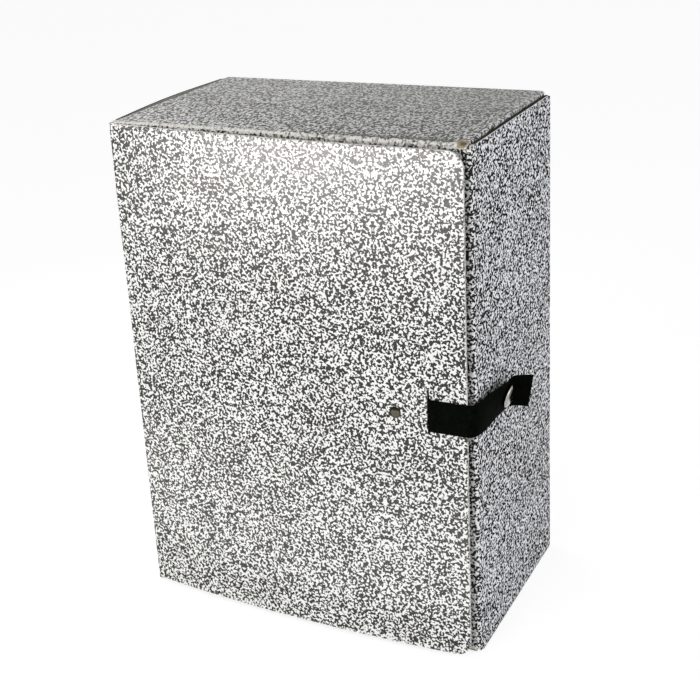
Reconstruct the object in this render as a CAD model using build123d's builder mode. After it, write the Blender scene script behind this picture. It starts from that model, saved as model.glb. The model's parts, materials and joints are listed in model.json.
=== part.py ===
"""Upright archive box of creased solid board, with a side-hung front cover and a strap with a press stud.

Millimetres. The origin is the middle of the base, +Z is up, the front faces -Y and +X is to the right
of someone who faces the front. The cover rests as the fastened strap holds it, a little off the front.
"""

import os
from math import asin, atan2, cos, degrees, radians, sin, sqrt, tan

from build123d import *

# Case
box_width = 256.0
box_depth = 150.0  # from the front lips to the back, without the cover
box_height = 350.0
board = 2.0  # thickness of the solid board
fold_radius = 2.1  # outside radius of the upright folds
corner_return = 6.0  # how far a folded panel runs on round its corner
end_fold_radius = 1.8  # outside radius of the folds round the top and bottom panels
side_drop = 1.6  # the side panels stop this far below the top face
end_clear = 0.2  # between the folds of the end panels and the edges of the flange and the back
glue_gap = 0.25  # glue line between a tab and its wall
panel_gap = 0.4  # between the edges of neighbouring flaps
lip_height = 16.0
tab_height = 26.0
flange_width = 22.0

# Cover
cover_gap = 0.3  # between the shut cover and the front lips
cover_inset = 1.7  # the free edge stops this far short of the right face
cover_lift = 1.5  # above the surface that the box stands on
cover_top_drop = 3.0  # below the top face
cover_stand_off = 5.2  # how far the free edge stands forward, strap fastened
cover_bow = 3.4  # outward bow of the board over its width
cover_corner_radius = 11.0

# Hinge tape inside the cover's crease
tape_thickness = 0.4
tape_leg = 18.0
tape_clear = 0.5  # from the lips, the tabs and the crease
tape_glue = 0.05  # glue line under the leg on the bowed cover

# Strap
strap_width = 22.0
strap_thickness = 1.4
strap_height = 175.0  # middle of the strap above the base
strap_clear = 0.2  # between the strap and the bowed board
strap_bend_radius = 0.9  # middle of the strap, at the slit
strap_end_margin = 8.0  # past the rivet
slit_height = 35.0
slit_clear = 0.3
slit_from_edge = 27.6
rivet_from_edge = 51.0
turn_gap = 1.2  # between the cover's free edge and the strap that turns round it
turn_clear = 0.15  # between the two stretches of the strap
flare_radius = 6.0
flare_angle = 60.0
flare_length = 9.0

# Rivet of the strap
rivet_head_radius = 4.2
rivet_head_height = 0.9
rivet_dish_radius = 2.6
rivet_dish_depth = 0.4
rivet_shank_radius = 1.5
rivet_tail_radius = 2.5
rivet_tail_height = 0.6
rivet_rounding = 0.3
rivet_seat_gap = 0.06  # under the flat head, on the bowed board
washer_radius = 4.6
washer_thickness = 0.8
shank_clear = 0.1

# Press stud
snap_back = 38.0  # behind the front face of the case
snap_stack = 5.0  # from the panel to the strap, fastened
snap_flat_front = 9.0  # straight strap before the stud's axis
snap_flat_back = 8.2  # straight strap behind it
snap_lead_radius = 25.0
cap_radius = 7.5
cap_height = 2.2
cap_rounding = 1.5
post_radius = 1.8
post_clear = 0.1
socket_radius = 5.5
socket_height = 3.4
socket_floor = 0.5
socket_rounding = 0.5
head_clear = 0.35  # round the stud's head in the socket
stud_base_radius = 5.0
stud_base_height = 0.8
stud_neck_radius = 2.5
stud_neck_height = 0.9
stud_head_radius = 3.0
stud_head_height = 2.1
stud_head_rounding = 0.9
stud_bore_depth = 1.8
post_flange_radius = 4.6
post_flange_height = 0.8
post_flange_rounding = 0.3

cut_overrun = 5.0

# Faces of the case
front_face = -box_depth / 2
back_face = box_depth / 2
right_face = box_width / 2
left_face = -box_width / 2
wall_top = box_height - side_drop
flap_drop = board + end_clear
mid_height = Plane.XY.offset(box_height / 2)
end_half_width = right_face - board - glue_gap

os.makedirs("parts", exist_ok=True)


def folded_board(outside, inside):
    """Outline of folded board, from the lines along its outside and its inside."""
    outer = FilletPolyline(*outside, radius=fold_radius)
    inner = FilletPolyline(*inside, radius=fold_radius - board)
    Line(outer @ 0, inner @ 0)
    Line(outer @ 1, inner @ 1)


# Side panels: flat boards between the front and the back folds
side_back = back_face - corner_return
with BuildPart() as left_side_panel:
    with BuildSketch(Plane.XY):
        with Locations((left_face + board / 2, (front_face + side_back) / 2)):
            Rectangle(board, side_back - front_face)
    extrude(amount=wall_top)
left_side_panel.part.label = "left_side_panel"
export_step(left_side_panel.part, "parts/left_side_panel.step")

right_panel_front = front_face + corner_return
snap_middle = front_face + snap_back
with BuildPart() as right_side_panel:
    with BuildSketch(Plane.XY):
        with Locations((right_face - board / 2, (right_panel_front + side_back) / 2)):
            Rectangle(board, side_back - right_panel_front)
    extrude(amount=wall_top)
    with BuildSketch(Plane.YZ.offset(right_face)):
        with Locations((snap_middle, strap_height)):
            Circle(post_radius + post_clear)
    extrude(amount=-board, mode=Mode.SUBTRACT)
right_side_panel.part.label = "right_side_panel"
export_step(right_side_panel.part, "parts/right_side_panel.step")

# Back panel: turns both back corners, and is cut away for the fold of the bottom panel
with BuildPart() as back_panel:
    with BuildSketch(Plane.XY):
        with BuildLine():
            folded_board(
                (
                    (left_face, side_back),
                    (left_face, back_face),
                    (right_face, back_face),
                    (right_face, side_back),
                ),
                (
                    (left_face + board, side_back),
                    (left_face + board, back_face - board),
                    (right_face - board, back_face - board),
                    (right_face - board, side_back),
                ),
            )
        make_face()
    extrude(amount=box_height - flap_drop)
    with BuildSketch(Plane.XY):
        with Locations((0, back_face)):
            Rectangle(2 * (end_half_width + glue_gap), 2 * fold_radius)
    extrude(amount=board, mode=Mode.SUBTRACT)
back_panel.part.label = "back_panel"
export_step(back_panel.part, "parts/back_panel.step")

# Right front flange: folded in at the right front corner, cut back at both ends for the lips
flange_edge = right_face - flange_width
lip_right = right_face - corner_return
with BuildPart() as right_front_flange:
    with BuildSketch(Plane.XY.offset(side_drop)):
        with BuildLine():
            folded_board(
                (
                    (right_face, right_panel_front),
                    (right_face, front_face),
                    (flange_edge, front_face),
                ),
                (
                    (right_face - board, right_panel_front),
                    (right_face - board, front_face + board),
                    (flange_edge, front_face + board),
                ),
            )
        make_face()
    extrude(amount=wall_top - side_drop)
    with BuildSketch(Plane.XZ.offset(-front_face)):
        for end_height in (0, box_height):
            with Locations(((flange_edge + lip_right) / 2, end_height)):
                Rectangle(lip_right - flange_edge, 2 * (lip_height + panel_gap))
            with Locations(((flange_edge + right_face - board) / 2, end_height)):
                Rectangle(right_face - board - flange_edge, 2 * flap_drop)
    extrude(amount=-board, mode=Mode.SUBTRACT)
right_front_flange.part.label = "right_front_flange"
export_step(right_front_flange.part, "parts/right_front_flange.step")

# Bottom panel: its lip and tabs are folded up round a soft edge
with BuildPart() as bottom_panel:
    with BuildSketch(Plane.XY):
        Rectangle(2 * end_half_width, box_depth)
    extrude(amount=board)
    fillet(bottom_panel.faces().sort_by(Axis.Z)[0].edges(), radius=end_fold_radius)
bottom_panel.part.label = "bottom_panel"
export_step(bottom_panel.part, "parts/bottom_panel.step")

lip_edge = lip_right - panel_gap
with BuildPart() as bottom_front_lip:
    with BuildSketch(Plane.XY.offset(board)):
        with Locations(((lip_edge - end_half_width) / 2, front_face + board / 2)):
            Rectangle(lip_edge + end_half_width, board)
    extrude(amount=lip_height - board)
bottom_front_lip.part.label = "bottom_front_lip"
export_step(bottom_front_lip.part, "parts/bottom_front_lip.step")

tab_length = box_depth - 2 * (fold_radius + panel_gap)
with BuildPart() as bottom_right_tab:
    with BuildSketch(Plane.XY.offset(board)):
        with Locations((end_half_width - board / 2, 0)):
            Rectangle(board, tab_length)
    extrude(amount=tab_height - board)
bottom_right_tab.part.label = "bottom_right_tab"
export_step(bottom_right_tab.part, "parts/bottom_right_tab.step")

with BuildPart() as bottom_left_tab:
    mirror(bottom_right_tab.part, about=Plane.YZ)
bottom_left_tab.part.label = "bottom_left_tab"
export_step(bottom_left_tab.part, "parts/bottom_left_tab.step")

# Top end: the bottom end turned over
bottom_end = {
    "panel": bottom_panel,
    "front_lip": bottom_front_lip,
    "left_tab": bottom_left_tab,
    "right_tab": bottom_right_tab,
}
for piece, bottom_piece in bottom_end.items():
    with BuildPart() as top_piece:
        mirror(bottom_piece.part, about=mid_height)
    top_piece.part.label = f"top_{piece}"
    export_step(top_piece.part, f"parts/top_{piece}.step")

# Front cover: bowed board with a round nose on the crease, seen from above in its own plane
hinge_x = left_face + board / 2
hinge_y = front_face - cover_gap - board / 2
cover_chord = box_width - board / 2 - cover_inset
cover_height = box_height - cover_top_drop - cover_lift
cover_ajar = asin(cover_stand_off / cover_chord)
bow_radius = (cover_chord**2 / 4 + cover_bow**2) / (2 * cover_bow)
bow_half_turn = asin(cover_chord / 2 / bow_radius)
half_board = board / 2


def bow_at(along):
    """How far the middle of the board lies inside its chord, at a distance from the crease."""
    return bow_radius - cover_bow - sqrt(bow_radius**2 - (along - cover_chord / 2) ** 2)


cover_plane = Plane(
    origin=(hinge_x, hinge_y, cover_lift),
    x_dir=(cos(cover_ajar), -sin(cover_ajar), 0),
    z_dir=(0, 0, 1),
)
across_x = half_board * sin(bow_half_turn)
across_y = half_board * cos(bow_half_turn)

# Plane of the strap on the cover: origin in the middle of the free edge, +X past the edge, +Z inward
strap_lean = atan2(-bow_at(cover_chord - rivet_from_edge), rivet_from_edge) - cover_ajar
strap_along = Vector(cos(strap_lean), sin(strap_lean), 0)
strap_inward = Vector(-sin(strap_lean), cos(strap_lean), 0)
free_edge = cover_plane.from_local_coords((cover_chord, 0, strap_height - cover_lift))
strap_front = Plane(origin=free_edge, x_dir=strap_along, z_dir=strap_inward)
rivet_axis = Plane(
    origin=strap_front.from_local_coords((-rivet_from_edge, 0, 0)),
    x_dir=strap_along,
    z_dir=strap_inward,
)

with BuildPart() as front_cover:
    with BuildSketch(cover_plane):
        with BuildLine():
            outside = ThreePointArc(
                (-across_x, -across_y),
                (cover_chord / 2, -cover_bow - half_board),
                (cover_chord + across_x, -across_y),
            )
            inside = ThreePointArc(
                (across_x, across_y),
                (cover_chord / 2, -cover_bow + half_board),
                (cover_chord - across_x, across_y),
            )
            Line(outside @ 1, inside @ 1)
            ThreePointArc(outside @ 0, (-across_y, across_x), inside @ 0)
        make_face()
    extrude(amount=cover_height)
    free_end = front_cover.faces().sort_by(Axis.X)[-1]
    fillet(free_end.edges().filter_by(Axis.Z, reverse=True), radius=cover_corner_radius)
    with BuildSketch(strap_front):
        with Locations((-slit_from_edge, 0)):
            Rectangle(strap_thickness + 2 * slit_clear, slit_height)
        with Locations((-rivet_from_edge, 0)):
            Circle(rivet_shank_radius + shank_clear)
    extrude(amount=cut_overrun, both=True, mode=Mode.SUBTRACT)
front_cover.part.label = "front_cover"
export_step(front_cover.part, "parts/front_cover.step")

# Hinge tape: one leg inside the left side panel, the other inside the cover
tape_bottom = max(lip_height, tab_height) + tape_clear
tape_height = box_height - 2 * tape_bottom
with BuildPart() as hinge_tape_wall_leg:
    with BuildSketch(Plane.XY.offset(tape_bottom)):
        with Locations((left_face + board + tape_thickness / 2, front_face + tape_clear + tape_leg / 2)):
            Rectangle(tape_thickness, tape_leg)
    extrude(amount=tape_height)
hinge_tape_wall_leg.part.label = "hinge_tape_wall_leg"
export_step(hinge_tape_wall_leg.part, "parts/hinge_tape_wall_leg.step")

tape_plane = Plane(
    origin=(hinge_x, hinge_y, tape_bottom),
    x_dir=(cos(cover_ajar + bow_half_turn), -sin(cover_ajar + bow_half_turn), 0),
    z_dir=(0, 0, 1),
)
tape_start = half_board + tape_clear
tape_rise = (tape_start + tape_leg) ** 2 / (2 * bow_radius) + tape_glue
with BuildPart() as hinge_tape_cover_leg:
    with BuildSketch(tape_plane):
        with Locations((tape_start + tape_leg / 2, half_board + tape_rise + tape_thickness / 2)):
            Rectangle(tape_leg, tape_thickness)
    extrude(amount=tape_height)
hinge_tape_cover_leg.part.label = "hinge_tape_cover_leg"
export_step(hinge_tape_cover_leg.part, "parts/hinge_tape_cover_leg.step")

# Fixed stretch of the strap: inside the cover, out through the slit, along the outside
strap_offset = half_board + strap_clear + strap_thickness / 2
strap_turn = turn_gap + strap_thickness / 2
strap_low = strap_height - strap_width / 2
strap_plan = Plane(
    origin=(free_edge.X, free_edge.Y, strap_low),
    x_dir=strap_along,
    z_dir=(0, 0, 1),
)
with BuildPart() as strap_anchor:
    with BuildSketch(strap_plan):
        with BuildLine():
            FilletPolyline(
                (-rivet_from_edge - strap_end_margin, strap_offset),
                (-slit_from_edge, strap_offset),
                (-slit_from_edge, -strap_offset),
                (strap_turn - strap_thickness - turn_clear, -strap_offset),
                radius=strap_bend_radius,
            )
            offset(amount=strap_thickness / 2, side=Side.BOTH, mode=Mode.REPLACE)
        make_face()
    extrude(amount=strap_width)
    with BuildSketch(rivet_axis):
        Circle(rivet_shank_radius + shank_clear)
    extrude(amount=cut_overrun, mode=Mode.SUBTRACT)
strap_anchor.part.label = "strap_anchor"
export_step(strap_anchor.part, "parts/strap_anchor.step")

# Rivet through the cover and the strap: dished head outside, peened tail over a washer inside
washer_seat = strap_offset + strap_thickness / 2
head_seat = -half_board - rivet_seat_gap
with BuildPart() as strap_rivet:
    with BuildSketch(rivet_axis.offset(head_seat)):
        Circle(rivet_head_radius)
    extrude(amount=-rivet_head_height)
    fillet(strap_rivet.faces().sort_by(Axis.Y)[0].edges(), radius=rivet_rounding)
    with BuildSketch(rivet_axis.offset(head_seat - rivet_head_height)):
        Circle(rivet_dish_radius)
    extrude(amount=rivet_dish_depth, mode=Mode.SUBTRACT)
    with BuildSketch(rivet_axis.offset(head_seat)):
        Circle(rivet_shank_radius)
    extrude(amount=washer_seat + washer_thickness - head_seat)
    with BuildSketch(rivet_axis.offset(washer_seat + washer_thickness)):
        Circle(rivet_tail_radius)
    extrude(amount=rivet_tail_height)
strap_rivet.part.label = "strap_rivet"
export_step(strap_rivet.part, "parts/strap_rivet.step")

with BuildPart() as rivet_washer:
    with BuildSketch(rivet_axis.offset(washer_seat)):
        Circle(washer_radius)
        Circle(rivet_shank_radius + shank_clear, mode=Mode.SUBTRACT)
    extrude(amount=washer_thickness)
rivet_washer.part.label = "rivet_washer"
export_step(rivet_washer.part, "parts/rivet_washer.step")

# Loose stretch of the strap: round the free edge, back along the side, out at its flared end
turn_axis = strap_plan.from_local_coords((strap_turn, -strap_offset, 0))
strap_middle_x = right_face + snap_stack + strap_thickness / 2
flare = radians(flare_angle)
flare_corner = flare_radius * tan(flare / 2)
flare_start = snap_middle + snap_flat_back + flare_corner
flare_reach = flare_length + flare_corner
with BuildPart() as strap_tail:
    with BuildSketch(Plane.XY.offset(strap_low)):
        with BuildLine():
            FilletPolyline(
                (turn_axis.X, turn_axis.Y),
                (strap_middle_x, snap_middle - snap_flat_front),
                (strap_middle_x, flare_start),
                (strap_middle_x + flare_reach * sin(flare), flare_start + flare_reach * cos(flare)),
                radius=[snap_lead_radius, flare_radius],
            )
            offset(amount=strap_thickness / 2, side=Side.BOTH, mode=Mode.REPLACE)
        make_face()
    extrude(amount=strap_width)
    with BuildSketch(Plane.YZ.offset(strap_middle_x)):
        with Locations((snap_middle, strap_height)):
            Circle(post_radius + post_clear)
    extrude(amount=strap_thickness, both=True, mode=Mode.SUBTRACT)
strap_tail.part.label = "strap_tail"
export_step(strap_tail.part, "parts/strap_tail.step")

# Press stud: cap and socket on the strap, stud and post on the right side panel
snap_axis = Plane(
    origin=(right_face, snap_middle, strap_height),
    x_dir=(0, 1, 0),
    z_dir=(1, 0, 0),
)
strap_inside = snap_stack
strap_outside = snap_stack + strap_thickness
with BuildPart() as snap_cap:
    with BuildSketch(snap_axis.offset(strap_outside)):
        Circle(cap_radius)
    extrude(amount=cap_height)
    fillet(snap_cap.faces().sort_by(Axis.X)[-1].edges(), radius=cap_rounding)
    with BuildSketch(snap_axis.offset(strap_outside)):
        Circle(post_radius)
    extrude(amount=-strap_thickness)
snap_cap.part.label = "snap_cap"
export_step(snap_cap.part, "parts/snap_cap.step")

with BuildPart() as snap_socket:
    with BuildSketch(snap_axis.offset(strap_inside)):
        Circle(socket_radius)
    extrude(amount=-socket_height)
    fillet(snap_socket.faces().sort_by(Axis.X)[0].edges(), radius=socket_rounding)
    with BuildSketch(snap_axis.offset(strap_inside - socket_height)):
        Circle(stud_head_radius + head_clear)
    extrude(amount=socket_height - socket_floor, mode=Mode.SUBTRACT)
snap_socket.part.label = "snap_socket"
export_step(snap_socket.part, "parts/snap_socket.step")

with BuildPart() as snap_stud:
    with BuildSketch(snap_axis):
        Circle(stud_base_radius)
    extrude(amount=stud_base_height)
    with BuildSketch(snap_axis.offset(stud_base_height)):
        Circle(stud_neck_radius)
    extrude(amount=stud_neck_height)
    with BuildSketch(snap_axis.offset(stud_base_height + stud_neck_height)):
        Circle(stud_head_radius)
    extrude(amount=stud_head_height)
    fillet(snap_stud.faces().sort_by(Axis.X)[-1].edges(), radius=stud_head_rounding)
    with BuildSketch(snap_axis):
        Circle(post_radius + post_clear)
    extrude(amount=stud_bore_depth, mode=Mode.SUBTRACT)
snap_stud.part.label = "snap_stud"
export_step(snap_stud.part, "parts/snap_stud.step")

with BuildPart() as snap_post:
    with BuildSketch(snap_axis.offset(-board)):
        Circle(post_flange_radius)
    extrude(amount=-post_flange_height)
    fillet(snap_post.faces().sort_by(Axis.X)[0].edges(), radius=post_flange_rounding)
    with BuildSketch(snap_axis.offset(-board)):
        Circle(post_radius)
    extrude(amount=board + stud_bore_depth)
snap_post.part.label = "snap_post"
export_step(snap_post.part, "parts/snap_post.step")

print(f"cover hinge axis at x {hinge_x:.4f}, y {hinge_y:.4f}")
print(f"cover ajar {degrees(cover_ajar):.3f} degrees, bow radius {bow_radius:.1f}")
print(f"strap turn axis at x {turn_axis.X:.4f}, y {turn_axis.Y:.4f}")
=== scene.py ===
"""Looks of an upright archive box of mottled board, with a strap, its rivet and its press stud.

Metres, in the frame of the solids: the origin is the middle of the base, +Z is up, the front faces -Y.
"""

import json
from math import asin, atan2, ceil, cos, exp, pi, radians, sin, sqrt, tan

import bmesh
import bpy
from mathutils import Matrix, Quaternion, Vector, noise


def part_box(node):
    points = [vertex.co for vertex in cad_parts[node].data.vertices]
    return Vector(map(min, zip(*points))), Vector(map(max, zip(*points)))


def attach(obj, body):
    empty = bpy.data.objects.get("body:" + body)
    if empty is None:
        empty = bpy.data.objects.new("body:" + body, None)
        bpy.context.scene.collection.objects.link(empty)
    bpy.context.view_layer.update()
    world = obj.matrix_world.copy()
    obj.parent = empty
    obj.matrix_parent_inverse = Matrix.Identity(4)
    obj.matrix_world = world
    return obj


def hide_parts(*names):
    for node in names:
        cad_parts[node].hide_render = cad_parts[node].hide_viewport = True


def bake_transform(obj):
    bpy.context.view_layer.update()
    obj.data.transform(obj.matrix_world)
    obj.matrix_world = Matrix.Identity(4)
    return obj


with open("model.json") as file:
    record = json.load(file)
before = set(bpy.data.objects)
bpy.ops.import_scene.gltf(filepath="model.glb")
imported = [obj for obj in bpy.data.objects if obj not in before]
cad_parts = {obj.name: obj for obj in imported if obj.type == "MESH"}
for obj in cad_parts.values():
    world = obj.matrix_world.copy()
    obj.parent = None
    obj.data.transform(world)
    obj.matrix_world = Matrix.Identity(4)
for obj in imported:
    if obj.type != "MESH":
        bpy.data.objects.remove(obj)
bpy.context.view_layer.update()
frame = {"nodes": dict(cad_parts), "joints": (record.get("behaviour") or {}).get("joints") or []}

# Case
board = 0.002
fold_radius = 0.0021
corner_return = 0.006
rim_radius = 0.0024
rim_marks = (0.003, 0.006)
panel_gap = 0.0004
case_low, case_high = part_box("back_panel")
left, right, back = case_low.x, case_high.x, case_high.y
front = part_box("left_side_panel")[0].y
wall_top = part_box("left_side_panel")[1].z
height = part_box("top_panel")[1].z
end_half_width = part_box("top_panel")[1].x
end_rim = 0.0034
back_top = height - end_rim - panel_gap / 2
right_margin_inset = 0.0009
back_corner_cut = 0.0046
corner_cut_lift = 0.62
left_wall_rise = 0.0008
left_wall_bow = 0.0014
right_wall_dip = 0.0002
side_back = back - corner_return
side_front = front + corner_return

# Board meshes and edges
wall_step = 0.02
cover_step = 0.012
edge_steps = (0.0009, 0.002, 0.0045, 0.009)
least_step = 0.0007
flat_tolerance = least_step / 10
axis_tolerance = 1e-7
edge_round = 0.0003
edge_wear_reach = 0.0011
sharp_angle = radians(40)
warp_size = 0.00022
warp_seed = 11
warp_scale = 14.0

# Cover
hinge = Vector(frame["joints"][0]["pos_m"])
cover_low, cover_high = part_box("front_cover")
cover_chord = 0.2533
cover_bow = 0.0034
cover_stand_off = 0.0052
cover_corner_radius = 0.011
cover_ajar = asin(cover_stand_off / cover_chord)
bow_radius = (cover_chord**2 / 4 + cover_bow**2) / (2 * cover_bow)
fold_reach = 0.006
cover_head_rise = 0.0015
cover_head_trim = 0.0005
cover_foot_trim = 0.0026
cover_trim_reach = 0.018
cover_foot_bulge = 0.003
slit_from_edge = 0.0272
slit_half_width = 0.0007
slit_half_height = 0.0175
slit_foot_half = 0.0134
slit_pull = 0.0006
slit_pull_reach = 0.006
slit_row_shares = (-1.0, -0.6, -0.4, 0.4, 0.6, 0.8)
slit_side_reaches = (0.002, 0.0036, 0.0056, 0.0085)
rivet_from_edge = 0.051
rivet_hole_half = 0.0026
rivet_shift = 0.001
rivet_drop = 0.0013

# Strap
strap_turn = Vector(frame["joints"][1]["pos_m"])
strap_half_width = 0.011
strap_half_thickness = 0.0007
strap_edge_radius = 0.0005
strap_clear = 0.0002
strap_end_margin = 0.008
strap_middle = strap_turn.z
strap_crown = 0.00012
strap_twist = 0.0022
strap_twist_reach = 0.016
strap_slant = 0.0018
strap_droop = 0.0012
strap_droop_reach = 0.014
strap_end_spread = 0.05
strap_waist = 0.045
strap_waist_place = 0.66
strap_waist_reach = 0.12
strap_inside_run = (-0.045, -0.036)
strap_slit_far = 0.0028
strap_slit_near = 0.0008
strap_slit_lean = 0.85
strap_outside_run = (-0.019, -0.0135, -0.0075)
strap_turn_run = ((-0.0037, -0.0006), (-0.0002, 0.0002), (0.0018, 0.0033), (0.0029, 0.0078))
strap_side_run = (
    (-0.0019, -0.0327), (-0.0015, -0.0249), (-0.001, -0.017), (-0.0004, -0.0106), (-0.0001, -0.0064),
)
strap_flare = (
    (0.0, -0.0022), (0.0002, 0.0026), (0.0005, 0.0072), (0.0024, 0.0101), (0.0072, 0.0118),
    (0.0126, 0.0131),
)

# Fasteners: radius and height of each turned profile, from the middle of the face
cap_height = 0.0022
cap_tilt = 0.25
cap_turn = 0.03
cap_shift = Vector((0.0009, 0.0012, -0.0016))
cap_spread = 1.07
cap_tarnish_radius = 0.0078
cap_tarnish_least = 0.35
# Painted dark reflection, stronger toward the top of the cap
cap_tarnish_upward = 1.6
cap_tarnish_tilt = 0.1
post_radius = 0.0018
cap_profile = (
    (0.0, 0.0022), (0.002, 0.00218), (0.004, 0.00208), (0.0058, 0.00178), (0.0068, 0.00138),
    (0.0074, 0.0009), (0.0075, 0.0004), (0.0072, 0.00008), (0.0064, 0.0), (0.0044, 0.0),
)
rivet_cup = (
    (0.0, 0.00114), (0.001, 0.00112), (0.0021, 0.0011), (0.0029, 0.00114), (0.0033, 0.00136),
    (0.0034, 0.0017), (0.0035, 0.00192), (0.0037, 0.00194), (0.0039, 0.0016), (0.0039, 0.0012),
    (0.0037, 0.00104), (0.0034, 0.00102),
)
rivet_shank = [
    (0.0035, 0.0003), (0.0015, 0.0002), (0.0015, -0.0034), (0.0025, -0.0034), (0.0023, -0.0038),
    (0.0, -0.00402),
]
rivet_rim_from = 0.0026
rivet_rim_reach = 0.0007
rivet_rim_dirt = 0.7
# Painted shade: the rim darker toward its top
rivet_rim_upward_shade = 0.4
# Painted shadow of the rim in the upper arc of the cup
rivet_arc_radius = 0.0032
rivet_arc_from = 0.1
rivet_arc_shadow = 1.5

# Counts of parts along curves
fold_parts = 10
rim_parts = 10
corner_parts = 10
strap_parts = 7
section_parts = 3
profile_parts = 4
turned_parts = 64

# Wear: shares above zero rub the print off, shares below zero darken the paper with grime and with painted
# shade
fold_wear_share = 0.45
cover_edge_wear_share = 0.8
lip_wear_share = 0.6
front_rim_wear_share = 0.74
front_rim_wear_reach = 0.0022
front_rim_wear_start = 0.4
# Rub that grows down the left of the front roll: wear, and painted light where the cover's head shades the
# roll
front_rim_left_rub_and_light_share = 0.36
# Painted shade, partly grime, in the crevice under the cover's head, on the left of the front roll
front_crevice_rolls = (0.75, 1.05)
front_crevice_shade_share = 0.15
front_rim_line_reach = 0.0034
front_rim_line_roll = 0.15
front_rim_line_share = 1.25
right_rim_wear_share = 0.36
# The right roll is darkened from this share of its turn on: painted shade, partly grime
right_rim_shade_and_grime_from = 0.8
right_rim_wear_reach = 0.0022
# Painted shade that grows toward the right of the end panels
right_shade_share = 0.19
right_shade_start = 0.2
corner_wear_share = 0.45
corner_fringe_share = 1.1
corner_fringe_reach = 0.005
corner_fringe_roll = 0.5
corner_stain_share = 2.3
corner_stain_middle = Vector((-0.0006, 0.0012))
corner_stain_reach = 0.0034
tip_stain_share = 2.1
tip_stain_reach = 0.0024
# Side rolls of the end panels darkened: painted shade of their undercut, partly grime
rim_shade_and_grime_share = 0.85
# The back roll of the end panels is darker
back_rim_darkening_share = 0.3
flange_fold_wear_share = 0.15
strap_wear_share = 0.75
strap_end_wear = 0.6
strap_side_wear = 0.8

# Hinge
hinge_fold_radius = 0.0023
tape_fold_radius = 0.0006
tape_lift = 0.0001
tape_reach = 0.0195

# Print of the paper
ink = (0.029, 0.028, 0.0235, 1.0)
paper_white = (0.872, 0.87, 0.85, 1.0)
paper_soil = (0.965, 0.96, 0.95, 1.0)
rubbed_paper = (0.83, 0.81, 0.75, 1.0)
board_core = (0.36, 0.29, 0.19, 1.0)
# Dark colour of grime and of painted shade, laid where the crease is below zero
grime_and_shade_colour = (0.02, 0.018, 0.014, 1.0)
stain_colour = (0.12, 0.105, 0.06, 1.0)
dust_colour = (0.37, 0.365, 0.35, 1.0)
dust_span = (-0.075, 0.06)
end_dust_share = 0.34
mirror_line = 0.0665
repeat_length = 0.114
grain_stretch = 0.85
end_grain_stretch = 0.66
grain_turn = (0.61, 0.43, 0.27)
worm_scale = 610.0
blot_scale = 170.0
blot_share = 0.03
cloud_scale = 28.0
cloud_share = 0.06
ink_range = (0.55, 0.566)
smear_roughness = 0.06
rub_roughness = 0.25
rub_relief = 1.4

# Masks of the shared effects: each rises over its range
rub_patch_share = 1.5
rub_range = (1.25, 1.75)
stain_range = (2.4, 3.1)
core_spot_scale = 70.0
core_spot_share = 2.0
core_range = (2.08, 2.3)
fleck_scale = 1500.0
fleck_range = (0.66, 0.72)
drift_scale = 11.0
drift_range = (0.3, 0.7)
smear_range = (0.3, 0.7)
scratch_stretch = (1.0, 7.0, 1.6)
scratch_range = (0.56, 0.7)

# Other finishes: a pair goes from the darker to the lighter tone
white = (1.0, 1.0, 1.0, 1.0)
pulp_tones = ((0.40, 0.375, 0.325, 1.0), (0.47, 0.445, 0.395, 1.0))
pulp_fleck = (0.22, 0.19, 0.15, 1.0)
pulp_scratch = (0.50, 0.47, 0.42, 1.0)
cut_tones = ((0.60, 0.565, 0.49, 1.0), (0.80, 0.775, 0.71, 1.0))
cut_core = (0.24, 0.18, 0.11, 1.0)
cut_fleck = (0.16, 0.13, 0.09, 1.0)
# Near-black tones: handling dirt and painted shade of the gaps
soiled_and_shaded_tones = ((0.014, 0.013, 0.009, 1.0), (0.05, 0.045, 0.028, 1.0))
soiled_fleck = (0.22, 0.18, 0.11, 1.0)
leather_tones = ((0.0012, 0.0017, 0.0011, 1.0), (0.0028, 0.0035, 0.0024, 1.0))
leather_rubbed = (0.007, 0.0075, 0.0062, 1.0)
nickel_tones = ((0.31, 0.305, 0.28, 1.0), (0.43, 0.425, 0.395, 1.0))
# Brown of tarnish and of a painted dark reflection
nickel_tarnish = (0.085, 0.05, 0.028, 1.0)
nickel_smear_share = 0.5
nickel_tarnish_range = (0.7, 1.15)
bronze_tones = ((0.105, 0.099, 0.07, 1.0), (0.15, 0.142, 0.104, 1.0))
# Black of dirt, and of painted shadow on the rivet
bronze_dirt_and_shadow = (0.012, 0.011, 0.009, 1.0)
bronze_smear_share = 0.0
bronze_dirt_and_shadow_range = (0.15, 0.75)
tape_tones = ((0.012, 0.012, 0.012, 1.0), (0.03, 0.029, 0.027, 1.0))
tape_rubbed = (0.075, 0.07, 0.062, 1.0)

# Stage
floor_level = -0.0004
floor_half = 6.0
floor_grey = (0.9, 0.9, 0.9, 1.0)
floor_seen_grey = (0.34, 0.34, 0.34, 1.0)
floor_glow = 0.8
ambient_colour = (0.46, 0.46, 0.47, 1.0)

# Camera, fitted to the corners of the case
camera_place = Vector((0.4031, -0.7840, 0.5419))
camera_aim = Vector((0.0091, -0.0344, 0.2373))
camera_roll = radians(-3.33)


# Shader helpers


def feed(tree, socket, value):
    """Links another node's output to a socket, or else sets the socket's value."""
    if isinstance(value, bpy.types.NodeSocket):
        tree.links.new(value, socket)
    else:
        socket.default_value = value


def place(tree, kind, inputs=None, **settings):
    """Adds a shader node. An input takes a value or another node's output."""
    made = tree.nodes.new(f"ShaderNode{kind}")
    for key, value in settings.items():
        setattr(made, key, value)
    for key, value in (inputs or {}).items():
        feed(tree, made.inputs[key], value)
    return made


def noise_at(tree, where, scale, detail=2.0, roughness=0.5, distortion=0.0):
    inputs = {
        "Vector": where, "Scale": scale, "Detail": detail, "Roughness": roughness,
        "Distortion": distortion,
    }
    return place(tree, "TexNoise", inputs).outputs["Fac"]


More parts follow.
